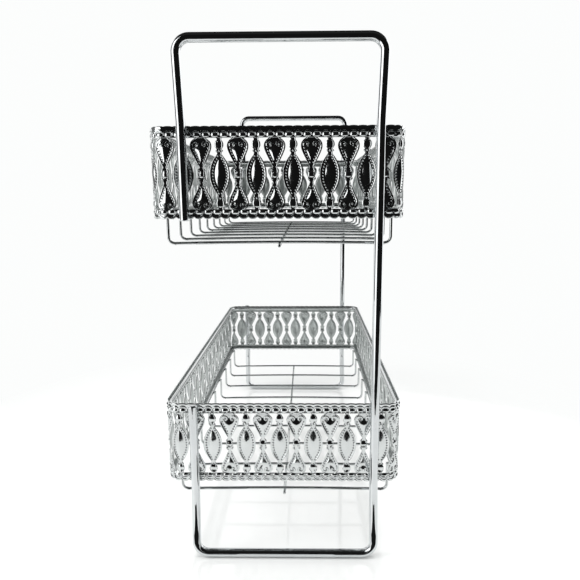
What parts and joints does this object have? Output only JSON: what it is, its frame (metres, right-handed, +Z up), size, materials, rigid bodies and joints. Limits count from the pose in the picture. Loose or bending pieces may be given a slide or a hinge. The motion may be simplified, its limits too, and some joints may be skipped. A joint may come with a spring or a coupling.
{
  "type": "two-tier wire basket rack",
  "caption": "Two-tier chrome wire basket rack: pierced filigree bands and wire floors between two bent-rod end frames with handles.",
  "frame": {"origin": "on the floor, under the middle of the rack", "axes": "+X along the baskets towards the right end frame, -Y out of the open front between the tiers, +Z up"},
  "size_m": [0.32, 0.1536, 0.324],
  "materials": {
    "frame_chrome": "bright chrome plate on 5.5 mm steel rod, smooth and mirror-like",
    "band_chrome": "chrome plate on an embossed steel strip: bright on the crests, satin grey inside",
    "wire_chrome": "chrome plate on drawn steel wire, slightly wavy"
  },
  "bodies": {
    "root": {"right_end_frame": "frame_chrome", "left_end_frame": "frame_chrome", "lower_filigree_band": "band_chrome", "lower_top_ring": "wire_chrome", "lower_bottom_ring": "wire_chrome", "lower_cross_wire_1": "wire_chrome", "lower_cross_wire_2": "wire_chrome", "lower_cross_wire_3": "wire_chrome", "lower_cross_wire_4": "wire_chrome", "lower_cross_wire_5": "wire_chrome", "lower_cross_wire_6": "wire_chrome", "lower_cross_wire_7": "wire_chrome", "lower_cross_wire_8": "wire_chrome", "lower_cross_wire_9": "wire_chrome", "lower_centre_wire": "wire_chrome", "upper_filigree_band": "band_chrome", "upper_top_ring": "wire_chrome", "upper_bottom_ring": "wire_chrome", "upper_cross_wire_1": "wire_chrome", "upper_cross_wire_2": "wire_chrome", "upper_cross_wire_3": "wire_chrome", "upper_cross_wire_4": "wire_chrome", "upper_cross_wire_5": "wire_chrome", "upper_cross_wire_6": "wire_chrome", "upper_cross_wire_7": "wire_chrome", "upper_cross_wire_8": "wire_chrome", "upper_cross_wire_9": "wire_chrome", "upper_centre_wire": "wire_chrome"}
  },
  "joints": []
}
